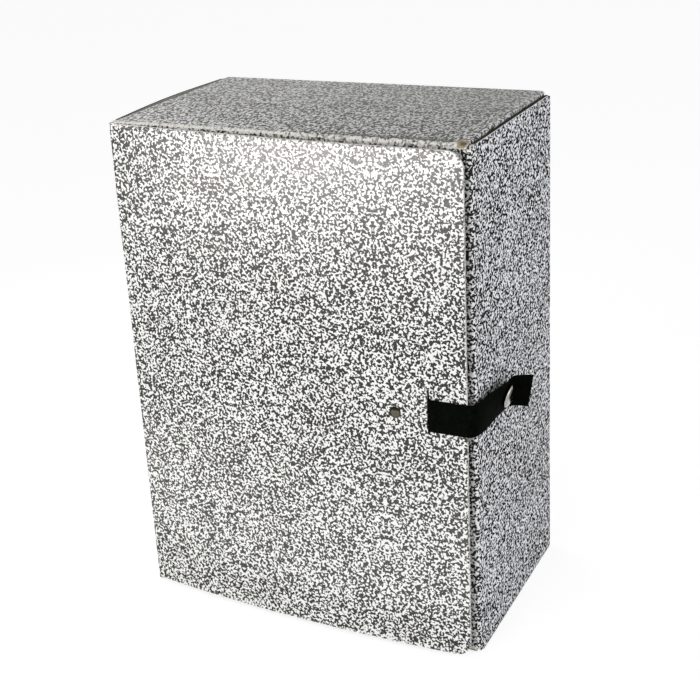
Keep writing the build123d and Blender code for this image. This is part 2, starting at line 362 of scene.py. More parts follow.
def math_of(tree, operation, *values, clamp=False):
    inputs = dict(enumerate(values))
    return place(tree, "Math", inputs, operation=operation, use_clamp=clamp).outputs[0]


def ramp_of(tree, value, start, end, low=0.0, high=1.0):
    """Value from start to end, stretched to the range from low to high, with a soft step."""
    inputs = {"Value": value, "From Min": start, "From Max": end, "To Min": low, "To Max": high}
    return place(tree, "MapRange", inputs, interpolation_type="SMOOTHSTEP").outputs["Result"]


def mixed(tree, share, first, second, blend="MIX"):
    made = place(tree, "Mix", data_type="RGBA", blend_type=blend)
    inputs = {"Factor": share, "A": first, "B": second}
    for socket in made.inputs:
        if socket.enabled and socket.name in inputs:
            feed(tree, socket, inputs[socket.name])
    return next(socket for socket in made.outputs if socket.enabled)


def group_of(name, inputs, outputs):
    """An empty node group with named sockets, with its two end nodes."""
    group = bpy.data.node_groups.new(name, "ShaderNodeTree")
    for in_out, sockets in (("INPUT", inputs), ("OUTPUT", outputs)):
        for socket in sockets:
            kind = "NodeSocketVector" if socket == "Place" else "NodeSocketFloat"
            group.interface.new_socket(socket, in_out=in_out, socket_type=kind)
    return group, group.nodes.new("NodeGroupInput").outputs, group.nodes.new("NodeGroupOutput").inputs


def grouped(tree, group, **inputs):
    return place(tree, "Group", inputs, node_tree=group).outputs


def rubbed_edge_group():
    """Where handling has rubbed an edge: first the ink, then down to the core."""
    group, given, result = group_of("Rubbed edge", ("Place", "Crease", "Grain"), ("Rub", "Core", "Stain"))
    patches = noise_at(group, given["Place"], given["Grain"], detail=5.0, roughness=0.62)
    worn = math_of(group, "MULTIPLY_ADD", patches, rub_patch_share, given["Crease"])
    feed(group, result["Rub"], ramp_of(group, worn, *rub_range))
    feed(group, result["Stain"], ramp_of(group, worn, *stain_range))
    spots = noise_at(group, given["Place"], core_spot_scale, detail=4.0, roughness=0.6)
    deep = math_of(group, "MULTIPLY_ADD", spots, core_spot_share, given["Crease"])
    feed(group, result["Core"], ramp_of(group, deep, *core_range))
    return group


def paper_fibre_group():
    """Fine felted relief of paper and board, and a slow drift of tone."""
    group, given, result = group_of("Paper fibre", ("Place", "Length"), ("Height", "Fleck", "Drift"))
    felt = noise_at(group, given["Place"], given["Length"], detail=4.0, roughness=0.7, distortion=1.2)
    feed(group, result["Height"], felt)
    fleck = noise_at(group, given["Place"], fleck_scale, detail=1.0, distortion=2.0)
    feed(group, result["Fleck"], ramp_of(group, fleck, *fleck_range))
    drift = noise_at(group, given["Place"], drift_scale, detail=3.0, roughness=0.55)
    feed(group, result["Drift"], ramp_of(group, drift, *drift_range))
    return group


def scuff_group():
    """Fine scratches and smears, for the gloss of metal, leather and coated paper."""
    group, given, result = group_of("Scuffs", ("Place", "Scale"), ("Smear", "Scratch"))
    smear = noise_at(group, given["Place"], given["Scale"], detail=5.0, roughness=0.6, distortion=0.6)
    feed(group, result["Smear"], ramp_of(group, smear, *smear_range))
    inputs = {0: given["Place"], 1: scratch_stretch}
    stretched = place(group, "VectorMath", inputs, operation="MULTIPLY").outputs[0]
    scratch = noise_at(group, stretched, given["Scale"], detail=6.0, roughness=0.75)
    feed(group, result["Scratch"], ramp_of(group, scratch, *scratch_range))
    return group


rubbed_edge = rubbed_edge_group()
paper_fibre = paper_fibre_group()
scuffs = scuff_group()


# Finishes


def new_material(name, fibre=None, grain=None, scuff=None, pebbles=None, tarnish=None):
    """A material with its Principled shader, and masks of the shared effects at the scales given.

    Rest is the place of the surface as it was made, and Crease is its wear, which below zero is grime
    and painted shade. A metal's tarnish, with its painted shading, is given by its share of the smears
    and by its range.
    """
    made = bpy.data.materials.new(name)
    made.use_nodes = True
    tree = made.node_tree
    rest = place(tree, "Attribute", attribute_name="rest_place").outputs["Vector"]
    crease = place(tree, "Attribute", attribute_name="crease").outputs["Fac"]
    masks = {"Rest": rest, "Crease": crease}
    if fibre:
        masks.update(grouped(tree, paper_fibre, Place=rest, Length=fibre).items())
    if grain:
        masks.update(grouped(tree, rubbed_edge, Place=rest, Crease=crease, Grain=grain).items())
    if scuff:
        where = place(tree, "TexCoord").outputs["Object"] if tarnish else rest
        masks.update(grouped(tree, scuffs, Place=where, Scale=scuff).items())
    if pebbles:
        inputs = {"Vector": rest, "Scale": pebbles, "Smoothness": 0.6}
        masks["Pebbles"] = place(tree, "TexVoronoi", inputs, feature="SMOOTH_F1").outputs["Distance"]
    if tarnish:
        smear_share, *span = tarnish
        # Tarnish of a metal, with its painted shading
        tarnished = math_of(tree, "MULTIPLY_ADD", masks["Smear"], smear_share, crease)
        masks["TarnishAndShading"] = ramp_of(tree, tarnished, *span)
    return made, tree, tree.nodes["Principled BSDF"], masks


def laid_over(tree, colour, masks, layers):
    """Other colours laid over a colour, each by the mask of its name."""
    for mask, layer in layers.items():
        colour = mixed(tree, masks[mask], colour, layer)
    return colour


def dress(tree, shader, colour, roughness, bumps, depth, gloss=0.5):
    """Gives a shader its colour, its roughness, a relief of some depth and its gloss."""
    bump = place(tree, "Bump", {"Height": bumps, "Distance": depth})
    feed(tree, shader.inputs["Base Color"], colour)
    feed(tree, shader.inputs["Roughness"], roughness)
    feed(tree, shader.inputs["Normal"], bump.outputs["Normal"])
    feed(tree, shader.inputs["Specular IOR Level"], gloss)


def mottle(tree, rest, stretch):
    """White share of the mottled print: worm-like blots in clouds, mirrored from repeat to repeat."""
    parts = place(tree, "SeparateXYZ", {0: rest}).outputs
    shifted = math_of(tree, "SUBTRACT", parts["X"], mirror_line)
    folded = math_of(tree, "PINGPONG", shifted, repeat_length)
    drawn_out = math_of(tree, "MULTIPLY", parts["Y"], stretch)
    where = place(tree, "CombineXYZ", {"X": folded, "Y": drawn_out, "Z": parts["Z"]}).outputs[0]
    where = place(tree, "Mapping", {"Vector": where, "Rotation": grain_turn}).outputs[0]
    worms = noise_at(tree, where, worm_scale, detail=0.8, roughness=0.55, distortion=0.4)
    blots = noise_at(tree, where, blot_scale, detail=1.0)
    clouds = noise_at(tree, where, cloud_scale, detail=2.0)
    tone = math_of(tree, "MULTIPLY_ADD", blots, blot_share, worms)
    tone = math_of(tree, "MULTIPLY_ADD", clouds, cloud_share, tone)
    return ramp_of(tree, tone, *ink_range)


def mottled_paper(name, gloss, least_rough, stretch=grain_stretch, dust_share=0.0):
    """Printed paper facing of the board, as glossy as it has been polished by hands."""
    made, tree, shader, masks = new_material(name, fibre=900.0, grain=420.0, scuff=26.0)
    rest = masks["Rest"]
    # Crease below zero: grime, and painted shade in the side rims, the front crevice and toward the right
    masks["GrimeAndShade"] = math_of(tree, "MULTIPLY", masks["Crease"], -1.0, clamp=True)
    colour = mixed(tree, mottle(tree, rest, stretch), ink, paper_white)
    soil = mixed(tree, masks["Drift"], paper_soil, white)
    colour = mixed(tree, 1.0, colour, soil, blend="MULTIPLY")
    if dust_share:
        depth = place(tree, "SeparateXYZ", {0: rest}).outputs["Y"]
        colour = mixed(tree, ramp_of(tree, depth, *dust_span, 0.0, dust_share), colour, dust_colour)
    layers = {"Rub": rubbed_paper, "Core": board_core, "Stain": stain_colour, "GrimeAndShade": grime_and_shade_colour}
    colour = laid_over(tree, colour, masks, layers)
    dull = math_of(tree, "MULTIPLY_ADD", masks["Smear"], smear_roughness, least_rough)
    dull = math_of(tree, "MULTIPLY_ADD", masks["Rub"], rub_roughness, dull)
    bumps = math_of(tree, "MULTIPLY_ADD", masks["Rub"], rub_relief, masks["Height"])
    dress(tree, shader, colour, dull, bumps, depth=0.00008, gloss=gloss)
    return made


def finish(name, tones, layers, rough, depth, bumps="Height", gloss=0.5, metallic=0.0, **effects):
    """Two tones by one mask, other colours laid over them, a roughness and a relief."""
    made, tree, shader, masks = new_material(name, **effects)
    mask, *pair = tones
    colour = laid_over(tree, mixed(tree, masks[mask], *pair), masks, layers)
    if isinstance(rough, tuple):
        mask, *spans = rough
        rough = ramp_of(tree, masks[mask], *spans)
    dress(tree, shader, colour, rough, masks[bumps], depth, gloss)
    shader.inputs["Metallic"].default_value = metallic
    return made


paper = mottled_paper("mottled_paper", gloss=0.3, least_rough=0.15)
end_paper = mottled_paper(
    "end_mottled_paper", gloss=0.12, least_rough=0.4, stretch=end_grain_stretch, dust_share=end_dust_share
)
matt_paper = mottled_paper("matt_mottled_paper", gloss=0.0, least_rough=0.5)

# Unlined grey pulp board, the inside of the case and the cover
inner_board = finish(
    "bare_board", ("Drift", *pulp_tones), {"Fleck": pulp_fleck, "Scratch": pulp_scratch},
    rough=("Height", 0.2, 0.8, 0.72, 0.9), depth=0.00016, fibre=620.0, scuff=34.0,
)
# The knife-cut edge of the board: layers of pulp between the faces
core_edge = finish(
    "cut_edge", ("Height", *cut_tones), {"Core": cut_core, "Fleck": cut_fleck},
    rough=0.88, depth=0.0002, fibre=1500.0, grain=260.0,
)
# Cut edges of the walls and the end panels, near black: dark with handling, and painted shade of the gaps
# along the end panels
dark_edge = finish(
    "soiled_and_shaded_edge", ("Smear", *soiled_and_shaded_tones), {"Fleck": soiled_fleck},
    rough=0.92, depth=0.0002, gloss=0.1, fibre=1500.0, scuff=60.0,
)
# Black coated leather with a fine pebble grain, paler where it is rubbed
leather = finish(
    "strap_leather", ("Smear", *leather_tones), {"Rub": leather_rubbed},
    rough=("Smear", 0.0, 1.0, 0.5, 0.64), depth=0.00022, bumps="Pebbles", gloss=0.003,
    grain=500.0, scuff=120.0, pebbles=1350.0,
)
# Nickel plating of the press stud, lightly brushed by use, with tarnish and a painted dark reflection on the
# cap
plating = finish(
    "nickel", ("Smear", *nickel_tones), {"TarnishAndShading": nickel_tarnish},
    rough=("Scratch", 0.0, 1.0, 0.16, 0.36), depth=0.00001, bumps="Scratch", metallic=1.0,
    scuff=900.0, tarnish=(nickel_smear_share, *nickel_tarnish_range),
)
# Dull bronze of the rivet, blackened where dirt has settled, with painted shadow in the upper arc of its cup
# and at the top of its rim
bronze = finish(
    "rivet_bronze", ("Smear", *bronze_tones), {"TarnishAndShading": bronze_dirt_and_shadow},
    rough=("Smear", 0.0, 1.0, 0.62, 0.76), depth=0.00002, bumps="Scratch", gloss=0.05,
    scuff=700.0, tarnish=(bronze_smear_share, *bronze_dirt_and_shadow_range),
)
# Black gummed paper tape along the inside of the hinge crease
tape = finish(
    "gummed_tape", ("Height", *tape_tones), {"Rub": tape_rubbed},
    rough=0.72, depth=0.0001, fibre=800.0, grain=380.0,
)
cover_finishes = (paper, inner_board, paper)
wall_finishes = (matt_paper, inner_board, dark_edge)
end_finishes = (end_paper, inner_board, dark_edge)


# Mesh helpers

noise.seed_set(warp_seed)


def warped(point):
    """Board is never quite flat: a slow drift, which leaves the base where it stands."""
    drift = noise.noise_vector(point * warp_scale) * warp_size
    return point + Vector((drift.x, drift.y, drift.z * max(0.0, point.z) / height))


def edge_wear(distance):
    return exp(-max(0.0, distance) / edge_wear_reach)


def lengths_along(points):
    """Distance of each point from the first one, along the line."""
    lengths = [0.0]
    for before, after in zip(points, points[1:]):
        lengths.append(lengths[-1] + (after - before).length)
    return lengths


def graded(low, high, marks=(), step=wall_step):
    """Places from low to high, closer together near both ends, with the marks among them."""
    kept = [low, high, *marks]
    count = max(1, ceil((high - low) / step))
    others = [low + s for s in edge_steps] + [high - s for s in edge_steps]
    others += [low + (high - low) * k / count for k in range(1, count)]
    for other in others:
        if low < other < high and min(abs(other - k) for k in kept) > least_step:
            kept.append(other)
    return sorted(kept)


def added(name, data):
    """Adds an object to the scene."""
    piece = bpy.data.objects.new(name, data)
    bpy.context.scene.collection.objects.link(piece)
    return piece


def meshed(name, bm, materials):
    """Turns a bmesh into an object of the scene."""
    mesh = bpy.data.meshes.new(name)
    bm.to_mesh(mesh)
    bm.free()
    for material in materials:
        mesh.materials.append(material)
    return added(name, mesh)


def skin(bm, rings):
    """Faces between rings of points. A ring of one point closes the skin in a tip."""
    for one, other in zip(rings, rings[1:]):
        for k in range(max(len(one), len(other))):
            corners = [one[k % len(one)], one[(k + 1) % len(one)]]
            corners += [other[(k + 1) % len(other)], other[k % len(other)]]
            bm.faces.new(list(dict.fromkeys(corners)))


def finished(name, body, bm, materials, replaced=()):
    """Turns a bmesh into a piece that rides on a body, or on none if the body is None."""
    layers = bm.verts.layers.float_vector
    rest = layers.get("rest_place") or layers.new("rest_place")
    for vert in bm.verts:
        if vert[rest].length_squared == 0.0:
            vert[rest] = vert.co
        vert.co = warped(vert.co)
    bmesh.ops.recalc_face_normals(bm, faces=bm.faces)
    for face in bm.faces:
        face.smooth = True
    piece = meshed(name, bm, materials)
    if body:
        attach(piece, body)
    if replaced:
        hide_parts(*replaced)
    return piece


def board_mesh(grid, opened=None, butted=()):
    """A closed board with rounded cut edges, from a grid of places outside and inside, and their wear.

    Cells for which opened is true are left out. A butted side keeps its square edge.
    """
    rows, columns = len(grid), len(grid[0])
    bm = bmesh.new()
    wear = bm.verts.layers.float.new("crease")
    cells = [(i, j) for i in range(rows - 1) for j in range(columns - 1) if not (opened and opened(i, j))]
    rings = [((i, j), (i + 1, j), (i + 1, j + 1), (i, j + 1)) for i, j in cells]
    verts = {}
    for i, j in sorted({corner for ring in rings for corner in ring}):
        for side, where in zip(("outside", "inside"), grid[i][j]):
            verts[side, i, j] = bm.verts.new(where)
            verts[side, i, j][wear] = grid[i][j][2]
    runs = set()
    for ring in rings:
        bm.faces.new([verts["outside", *k] for k in ring]).material_index = 0
        bm.faces.new([verts["inside", *k] for k in reversed(ring)]).material_index = 1
        runs.update(zip(ring, ring[1:] + ring[:1]))
    ends = {"first": (0, 0), "last": (0, rows - 1), "low": (1, 0), "high": (1, columns - 1)}
    rounded = []
    for a, b in sorted(runs):
        if (b, a) in runs:
            continue
        corners = [verts["outside", *b], verts["outside", *a], verts["inside", *a], verts["inside", *b]]
        bm.faces.new(corners).material_index = 2
        square = any(a[axis] == b[axis] == end for axis, end in (ends[side] for side in butted))
        for side in ("outside", "inside"):
            edge = bm.edges.get((verts[side, *a], verts[side, *b]))
            if square:
                edge.smooth = False
            else:
                rounded.append(edge)
    for i, j in {k[1:] for k in verts}:
        edge = bm.edges.get((verts["outside", i, j], verts["inside", i, j]))
        if edge and edge.calc_face_angle(0.0) > sharp_angle:
            edge.smooth = False
    if rounded:
        bmesh.ops.bevel(
            bm, geom=rounded, offset=edge_round, offset_type="OFFSET", segments=2, profile=0.5,
            affect="EDGES", clamp_overlap=True,
        )
    return bm


def turned_by(vector, angle):
    across, up = cos(angle), sin(angle)
    return Vector((vector.x * across - vector.y * up, vector.x * up + vector.y * across))


def folded_path(corners, radius=fold_radius):
    """Samples along straight runs with round left-hand folds: place, outward normal and bend."""
    points = [Vector(corner) for corner in corners]
    start = points[0]
    samples = []
    for k, here in enumerate(points[1:], 1):
        along = (here - start).normalized()
        outward = turned_by(along, -pi / 2)
        last = k == len(points) - 1
        turn = 0.0
        if not last:
            ahead = (points[k + 1] - here).normalized()
            turn = atan2(along.x * ahead.y - along.y * ahead.x, along.dot(ahead))
        stop = here - along * radius * tan(turn / 2)
        places = graded(0.0, (stop - start).length)
        samples += [(start + along * s, outward, 0.0) for s in (places if last else places[:-1])]
        centre = stop - outward * radius
        for part in range(0 if last else fold_parts):
            leaning = turned_by(outward, turn * part / fold_parts)
            samples.append((centre + leaning * radius, leaning, sin(pi * part / fold_parts)))
        start = centre + turned_by(outward, turn) * radius
    return samples


def upright_board(
    name, path, levels, finishes, replaced=(), butted=(), opened=None, body="box",
    thickness=board, foot_and_head=None, wear_share=1.0, rubbed=0.0, fold_wear=fold_wear_share,
    tip_wear=0.0,
):
    """Board that follows a path in plan, from the lowest to the highest level."""
    bottom, top = levels[0], levels[-1]
    lengths = lengths_along([where for where, outward, bend in path])
    grid = []
    for length, (where, outward, bend) in zip(lengths, path):
        foot, head = foot_and_head(length / lengths[-1]) if foot_and_head else (bottom, top)
        inner = where - outward * thickness
        column = []
        for z in levels:
            up = foot + (head - foot) * (z - bottom) / (top - bottom)
            reach = {"first": length, "last": lengths[-1] - length, "low": z - bottom, "high": top - z}
            edges = [edge_wear(d) * wear_share for side, d in reach.items() if side not in butted]
            at_tip = bend * tip_wear * exp((z - top) / tip_stain_reach)
            column.append(((*where, up), (*inner, up), max(bend * fold_wear, rubbed, at_tip, *edges)))
        grid.append(column)
    bm = board_mesh(grid, opened, butted)
    return finished(name, body, bm, finishes, replaced)


# Case


def case_walls():
    """Right flange, right wall, back and left wall: one folded strip of board, piece by piece."""
    flange_low, flange_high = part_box("right_front_flange")
    lip_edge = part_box("top_front_lip")[1].x
    notch_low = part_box("bottom_front_lip")[1].z + panel_gap
    notch_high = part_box("top_front_lip")[0].z - panel_gap
    fold_low = end_rim + panel_gap / 2
    fold_high = height - fold_low
    flange_path = folded_path(((flange_low.x, front), (right, front), (right, side_front)))
    flange_marks = (notch_low, notch_high, fold_low, fold_high)
    flange_levels = graded(flange_low.z, flange_high.z, flange_marks)

    def flange_notch(i, j):
        at_front = flange_path[i][0].y < front + least_step
        at_lip = flange_levels[j + 1] <= notch_low or flange_levels[j] >= notch_high
        at_fold = flange_levels[j + 1] <= fold_low or flange_levels[j] >= fold_high
        beside_lip = flange_path[i + 1][0].x < lip_edge + least_step
        return at_front and (at_lip and beside_lip or at_fold)

    upright_board(
        "right_front_flange_board", flange_path, flange_levels, (matt_paper, inner_board, core_edge),
        ("right_front_flange",), ("last",), flange_notch, fold_wear=flange_fold_wear_share,
        wear_share=cover_edge_wear_share,
    )

    levels = graded(0.0, wall_top)
    upright_board(
        "right_wall", folded_path(((right, side_front), (right, side_back))), levels, wall_finishes,
        ("right_side_panel",), ("first", "last"),
        foot_and_head=lambda share: (0.0, wall_top - right_wall_dip * share),
    )

    back_corners = ((right, side_back), (right, back), (left, back), (left, side_back))
    back_path = folded_path(back_corners)
    back_levels = graded(0.0, back_top, (end_rim,))

    def back_notch(i, j):
        flat = all(sample[0].y > back - flat_tolerance for sample in back_path[i : i + 2])
        return flat and back_levels[j + 1] <= end_rim

    upright_board(
        "back_wall", back_path, back_levels, wall_finishes, ("back_panel",), ("first", "last", "high"),
        back_notch,
    )

    upright_board(
        "left_wall", folded_path(((left, side_back), (left, side_front))), levels, wall_finishes,
        ("left_side_panel",), ("first", "last"),
        foot_and_head=lambda share: (0.0, wall_top + left_wall_rise + left_wall_bow * sin(pi * share)),
    )


def rolled_places(half):
    """Places across an end panel, with its rolled margins: outside, inside, lift and roll.

    The roll is the share of the quarter turn, and on the flat it is minus the distance from the turn.
    """
    flat = half - rim_radius
    margin = []
    for k in range(1, rim_parts + 1):
        turn = pi / 2 * k / rim_parts
        inner = flat + (rim_radius - board) * sin(turn)
        margin.append((flat + rim_radius * sin(turn), inner, cos(turn), k / rim_parts))
    margin.append((half, half - board, (rim_radius - end_rim) / rim_radius, end_rim / rim_radius))
    low_side = [(-out, -inner, lift, roll) for out, inner, lift, roll in reversed(margin)]
    near_front = [-flat + reach for reach in rim_marks]
    middle = [(s, s, 1.0, abs(s) - flat) for s in graded(-flat, flat, near_front)]
    return low_side + middle + margin


def along_rim(roll):
    """Distance along the board from the start of its turn."""
    return roll * rim_radius * pi / 2 if roll > 0.0 else roll


def front_rim_wear_light_and_shade(roll, along_share):
    """Rubbed band along the front fold, with a dark line above it to the right and below it to the left; on
    the left the band holds painted light, and the line below it is painted shade, partly grime.
    """
    flat_reach = max(0.0, -roll)
    across_share = min(1.0, max(0.0, 2 * along_share - front_rim_wear_start))
    crevice_first, crevice_last = front_crevice_rolls
    rubbed = front_rim_wear_share * exp(-((flat_reach / front_rim_wear_reach) ** 2))
    # Painted light: on the left the rub grows down the roll, where the cover's head shades it
    rubbed += front_rim_left_rub_and_light_share * (1 - across_share) * max(0.0, roll)
    # Painted shade, partly grime, in the crevice under the cover's head, on the left
    if roll > crevice_first + (crevice_last - crevice_first) * along_share:
        return rubbed * across_share - front_crevice_shade_share * (1 - across_share)
    if roll > front_rim_line_roll:
        return rubbed
    line = front_rim_line_share * across_share**3 * exp(-((flat_reach / front_rim_line_reach) ** 2))
    return rubbed - line


def end_panel_wear_and_shade(x_out, x_roll, y_out, y_roll):
    """Wear of an end panel: a rubbed front fold, painted shade to the right, a stained corner, side rims
    darkened by grime and painted shade, and a darker back rim.
    """
    at_front = y_out < 0 and y_roll >= 0.0
    # Painted shade, partly grime, in the side rolls: all of the left roll and the lower right roll
    if not at_front and x_roll > (right_rim_shade_and_grime_from if x_out > 0 else 0.0):
        return -rim_shade_and_grime_share
    # The back roll is darker
    if y_out > 0 and y_roll > 0.0:
        return -back_rim_darkening_share
    front_wear_light_and_shade = right_wear = 0.0
    if y_out < 0:
        front_wear_light_and_shade = front_rim_wear_light_and_shade(y_roll, (1 + x_out / end_half_width) / 2)
    if x_out > 0:
        right_wear = right_rim_wear_share * exp(min(0.0, x_roll) / right_rim_wear_reach)
    wear = max(front_wear_light_and_shade, right_wear) + max(0.0, min(front_wear_light_and_shade, right_wear)) * corner_wear_share
    if front_wear_light_and_shade < 0.0 and right_wear < -front_wear_light_and_shade:
        wear = front_wear_light_and_shade
    # Painted shade that grows toward the right side of the panel
    if not at_front:
        wear -= right_shade_share * max(0.0, x_out / end_half_width + right_shade_start)
    if y_out < 0 < x_out and min(x_roll, y_roll) > -corner_fringe_reach:
        from_stain = Vector((along_rim(x_roll), along_rim(y_roll))) - corner_stain_middle
        stain = corner_stain_share * exp(-((from_stain.length / corner_stain_reach) ** 4))
        fringe = corner_fringe_share if x_roll < corner_fringe_roll else 0.0
        wear = max(wear, fringe, stain)
    return wear


def end_panel(name, node, at_top):
    """Top or bottom panel: a flat board whose margins roll over into the lip, the tabs and the back."""
    across, deep = rolled_places(end_half_width), rolled_places(back)

    def trimmed(x, y, z):
        near_back = max(0.0, y - back + back_corner_cut)
        x_limit = end_half_width - right_margin_inset - near_back
        return min(x, x_limit), y, height - z if at_top else z

    grid = []
    for x_out, x_in, x_lift, x_roll in across:
        column = []
        for y_out, y_in, y_lift, y_roll in deep:
            lift = min(x_lift, y_lift)
            z_out = rim_radius * (1 - lift)
            z_in = board + (rim_radius - board) * (1 - max(lift, 0.0)) - rim_radius * min(lift, 0.0)
            # Wear, grime and painted shade of the end panel
            worn = end_panel_wear_and_shade(x_out, x_roll, y_out, y_roll)
            column.append((trimmed(x_out, y_out, z_out), trimmed(x_in, y_in, z_in), worn))
        grid.append(column)

    def corner_cut(i, j):
        across_lift = max(across[i][2], across[i + 1][2])
        deep_lift = max(deep[j][2], deep[j + 1][2])
        return max(across_lift, deep_lift) < corner_cut_lift

    bm = board_mesh(grid, corner_cut, ("first", "last", "low", "high"))
    return finished(name, "box", bm, end_finishes, (node,))


def end_flaps():
    """Front lips and glue tabs, folded in from the end panels."""
    for end, folded_side in (("top", "high"), ("bottom", "low")):
        low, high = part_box(f"{end}_front_lip")
        upright_board(
            f"{end}_lip", folded_path(((low.x, front), (high.x, front))),
            graded(max(low.z, end_rim), min(high.z, height - end_rim)),
            (end_paper, inner_board, core_edge), (f"{end}_front_lip",), (folded_side,),
            rubbed=lip_wear_share,
        )
        for side, sign in (("right", 1), ("left", -1)):
            low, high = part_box(f"{end}_{side}_tab")
            outer = sign * end_half_width
            upright_board(
                f"{end}_{side}_glue_tab", folded_path(((outer, sign * low.y), (outer, sign * high.y))),
                graded(max(low.z, end_rim), min(high.z, height - end_rim)),
                (dark_edge, inner_board, dark_edge), (f"{end}_{side}_tab",), (folded_side,),
            )


# Cover


def bow_at(along):
    return bow_radius - cover_bow - sqrt(bow_radius**2 - (along - cover_chord / 2) ** 2)


def cover_plan(along, depth):
    """Place in plan on the bowed cover: along it from the crease, and inward from its middle layer."""
    lean = asin((along - cover_chord / 2) / bow_radius)
    x = along - depth * sin(lean)
    y = bow_at(along) + depth * cos(lean)
    return Vector((
        hinge.x + x * cos(cover_ajar) + y * sin(cover_ajar),
        hinge.y - x * sin(cover_ajar) + y * cos(cover_ajar),
    ))


def slit_bulge(along, up):
    """The strap pulls one lip of the slit outward and presses the other in."""
    beside = along - (cover_chord - slit_from_edge)
    past = max(0.0, abs(up - strap_middle) - strap_half_width)
    pull = slit_pull * exp(-((beside / slit_pull_reach) ** 2) - (past / slit_pull_reach) ** 2)
    return -pull if beside < 0 else pull


def head_rise(along):
    """The cover's head is cut a little askew, higher at the crease."""
    return cover_head_rise * (1 - along / cover_chord)


def foot_bulge(along, up):
    """Below the strap, which holds it in, the cover bulges outward between its two edges."""
    share = max(0.0, (along - fold_reach) / (cover_chord - fold_reach))
    below = max(0.0, 1 - up / strap_middle)
    return cover_foot_bulge * 4 * share * (1 - share) * below**2


def edge_trim(along, up):
    """The free edge is cut a little askew, shorter at the foot."""
    whole = cover_foot_trim + (cover_head_trim - cover_foot_trim) * up / height
    return whole * max(0.0, 1 - (cover_chord - along) / cover_trim_reach)


def front_cover():
    """The cover: a bowed board with round free corners, a slit and a rivet hole."""
    slit = cover_chord - slit_from_edge
    rivet = cover_chord - rivet_from_edge + rivet_shift
    rivet_level = strap_middle - rivet_drop
    straight = cover_chord - cover_corner_radius
    turns = [pi / 2 * k / corner_parts for k in range(corner_parts + 1)]
    round_steps = [straight + cover_corner_radius * sin(turn) for turn in turns]
    column_marks = [
        slit - slit_half_width, slit + slit_half_width, rivet - rivet_hole_half, rivet + rivet_hole_half,
        *(slit + side * reach for side in (-1, 1) for reach in slit_side_reaches),
    ]
    row_marks = [
        strap_middle - slit_foot_half, strap_middle + slit_half_height, rivet_level - rivet_hole_half,
        rivet_level + rivet_hole_half,
        *(strap_middle + slit_half_height * share for share in slit_row_shares),
    ]
    columns = graded(fold_reach, straight, column_marks, cover_step)[:-1] + round_steps
    rows = graded(cover_low.z, cover_high.z, row_marks, cover_step)
    middle = (cover_low.z + cover_high.z) / 2
    half_height = (cover_high.z - cover_low.z) / 2
    grid = []
    for along in columns:
        beyond = max(0.0, along - straight)
        cut = cover_corner_radius - sqrt(max(0.0, cover_corner_radius**2 - beyond**2))
        share = (half_height - cut) / half_height
        column = []
        for row in rows:
            up = middle + (row - middle) * share
            up += head_rise(along) * max(0.0, (up - middle) / half_height) ** 4
            bulge = slit_bulge(along, up) - foot_bulge(along, up)
            trimmed = along - edge_trim(along, up)
            outer = cover_plan(trimmed, bulge - board / 2)
            inner = cover_plan(trimmed, bulge + board / 2)
            ends = (cover_chord - along, cover_high.z + head_rise(along) - cut - up, up - cover_low.z - cut)
            worn = max(edge_wear(distance) for distance in ends) * cover_edge_wear_share
            column.append(((*outer, up), (*inner, up), worn))
        grid.append(column)

    def cut_out(i, j):
        along = (columns[i] + columns[i + 1]) / 2
        up = (rows[j] + rows[j + 1]) / 2
        at_slit = -slit_foot_half < up - strap_middle < slit_half_height
        in_slit = abs(along - slit) < slit_half_width and at_slit
        in_rivet_hole = abs(along - rivet) < rivet_hole_half and abs(up - rivet_level) < rivet_hole_half
        return in_slit or in_rivet_hole

    bm = board_mesh(grid, cut_out, ("first",))
    finished("cover_board", "cover", bm, cover_finishes, ("front_cover",))


def hinge_fold():
    """The crease that joins the left wall to the cover: board folded round the hinge."""
    near = cover_plan(0.0, -board / 2)
    far = cover_plan(fold_reach, -board / 2)
    slope = (far.y - near.y) / (far.x - near.x)
    corner = (left, near.y + (left - near.x) * slope)
    heads = (wall_top + left_wall_rise, cover_high.z + head_rise(fold_reach))
    fold = upright_board(
        "hinge_fold", folded_path(((left, side_front), corner, far), hinge_fold_radius),
        graded(0.0, wall_top), cover_finishes, (), ("first", "last"), body=None,
        foot_and_head=lambda share: (cover_low.z * share, heads[0] + (heads[1] - heads[0]) * share),
        wear_share=cover_edge_wear_share, tip_wear=tip_stain_share,
    )
    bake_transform(fold)


def hinge_tape():
    """Gummed tape inside the crease, from the left wall to the cover."""
    wall_low, wall_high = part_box("hinge_tape_wall_leg")
    end = cover_plan(tape_reach, board / 2 + tape_lift)
    start = cover_plan(fold_reach, board / 2 + tape_lift)
    slope = (end.y - start.y) / (end.x - start.x)
    corner = (wall_low.x, start.y + (wall_low.x - start.x) * slope)
    strip = upright_board(
        "hinge_tape", folded_path(((wall_low.x, wall_high.y), corner, end), tape_fold_radius),
        graded(wall_low.z, wall_high.z), (tape, tape, tape),
        ("hinge_tape_wall_leg", "hinge_tape_cover_leg"), body=None,
        thickness=wall_high.x - wall_low.x,
    )
    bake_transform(strip)


# Strap

free_edge = cover_plan(cover_chord, 0.0)
strap_lean = atan2(-bow_at(cover_chord - rivet_from_edge), rivet_from_edge) - cover_ajar
strap_along = Vector((cos(strap_lean), sin(strap_lean)))
strap_inward = Vector((-sin(strap_lean), cos(strap_lean)))
strap_seat = Vector((
    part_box("snap_socket")[1].x + strap_half_thickness,
    (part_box("snap_cap")[0].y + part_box("snap_cap")[1].y) / 2,
))


def on_strap(along, depth):
    """Place in plan, measured from the cover's free edge along the strap and inward."""
    return free_edge + strap_along * along + strap_inward * depth


